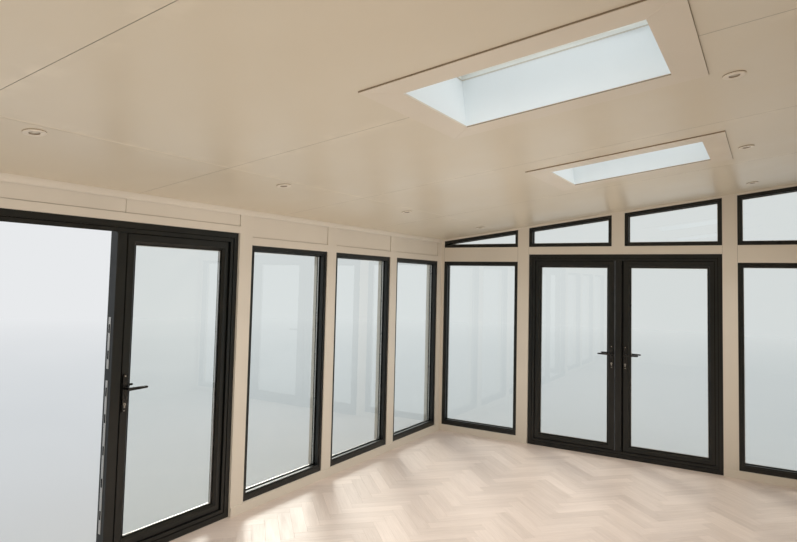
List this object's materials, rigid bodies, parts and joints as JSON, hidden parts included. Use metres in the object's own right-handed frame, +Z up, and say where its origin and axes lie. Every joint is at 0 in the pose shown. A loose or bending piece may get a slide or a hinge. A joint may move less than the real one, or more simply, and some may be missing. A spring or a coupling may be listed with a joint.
{
  "type": "garden office pod",
  "caption": "Timber garden office pod with a single-pitch roof, black framed windows, paired glazed doors, rooflights and an oak herringbone floor.",
  "frame": {"origin": "centre of the footprint at ground level, on the underside of the middle bearer", "axes": "+X along the pod away from the glazed end, -Y out of the long glazed front, +Z up"},
  "size_m": [8.444, 4.9884, 3.0207],
  "materials": {
    "off_white_paint": "satin paint on timber",
    "ceiling_paint": "satin painted board",
    "skylight_paint": "matt white paint",
    "treated_timber": "sawn treated timber",
    "oak": "matt oiled oak laid in herringbone",
    "black_frame": "satin powder coat",
    "handle_black": "satin black",
    "glass": "clear double glazing",
    "skylight_glass": "clear double glazing",
    "roof_membrane": "matt membrane",
    "downlight": "white enamel"
  },
  "bodies": {
    "pod": {"base_bearers": "treated_timber", "floor_joists": "treated_timber", "plinth_boards": "off_white_paint", "floor_deck": "treated_timber", "oak_floor": "oak", "wall_posts": "off_white_paint", "window_base_rails": "off_white_paint", "front_headers": "off_white_paint", "frieze_panels": "off_white_paint", "end_rails": "off_white_paint", "rear_wall": "off_white_paint", "side_wall": "off_white_paint", "window_frames": "black_frame", "window_glass": "glass", "outer_sills": "black_frame", "roof_panel": "ceiling_paint", "roof_membrane": "roof_membrane", "fascias": "black_frame", "ceiling_boards": "ceiling_paint", "skylight_linings": "skylight_paint", "skylight_kerbs": "black_frame", "skylight_glass": "skylight_glass", "skylight_trims": "ceiling_paint", "downlights": "downlight", "cove_trim": "off_white_paint", "skirting": "off_white_paint", "front_door_frame": "black_frame", "end_door_frame": "black_frame"},
    "front_left_door": {"front_left_leaf": "black_frame", "front_left_glass": "glass", "front_left_plates": "handle_black"},
    "front_left_handle": {"front_left_lever": "handle_black"},
    "front_right_door": {"front_right_leaf": "black_frame", "front_right_glass": "glass", "front_right_plates": "handle_black"},
    "front_right_handle": {"front_right_lever": "handle_black"},
    "end_left_door": {"end_left_leaf": "black_frame", "end_left_glass": "glass", "end_left_plates": "handle_black"},
    "end_left_handle": {"end_left_lever": "handle_black"},
    "end_right_door": {"end_right_leaf": "black_frame", "end_right_glass": "glass", "end_right_plates": "handle_black"},
    "end_right_handle": {"end_right_lever": "handle_black"}
  },
  "joints": [
    {"name": "front_left_hinge", "type": "hinge", "parent": "pod", "child": "front_left_door", "pos_m": [-0.8615, -2.021, 0.2], "axis": [0, 0, -1], "range_deg": [0, 100]},
    {"name": "front_right_hinge", "type": "hinge", "parent": "pod", "child": "front_right_door", "pos_m": [0.8615, -2.021, 0.2], "axis": [0, 0, 1], "range_deg": [-90, 10]},
    {"name": "end_left_hinge", "type": "hinge", "parent": "pod", "child": "end_left_door", "pos_m": [-4.1, 0.8615, 0.2], "axis": [0, 0, -1], "range_deg": [0, 100]},
    {"name": "end_right_hinge", "type": "hinge", "parent": "pod", "child": "end_right_door", "pos_m": [-4.1, -0.8615, 0.2], "axis": [0, 0, 1], "range_deg": [0, 100]},
    {"name": "front_left_lever_turn", "type": "hinge", "parent": "front_left_door", "child": "front_left_handle", "pos_m": [-0.064, -1.986, 1.185], "axis": [0, -1, 0], "range_deg": [0, 40], "stiffness_Nm_per_rad": 1.5, "springref_deg": -20.05},
    {"name": "front_right_lever_turn", "type": "hinge", "parent": "front_right_door", "child": "front_right_handle", "pos_m": [0.8265, -2.8185, 1.185], "axis": [-1, 0, 0], "range_deg": [0, 40], "stiffness_Nm_per_rad": 1.5, "springref_deg": -20.05},
    {"name": "end_left_lever_turn", "type": "hinge", "parent": "end_left_door", "child": "end_left_handle", "pos_m": [-4.065, 0.064, 1.185], "axis": [-1, 0, 0], "range_deg": [0, 40], "stiffness_Nm_per_rad": 1.5, "springref_deg": -20.05},
    {"name": "end_right_lever_turn", "type": "hinge", "parent": "end_right_door", "child": "end_right_handle", "pos_m": [-4.065, -0.064, 1.185], "axis": [1, 0, 0], "range_deg": [0, 40], "stiffness_Nm_per_rad": 1.5, "springref_deg": -20.05}
  ]
}
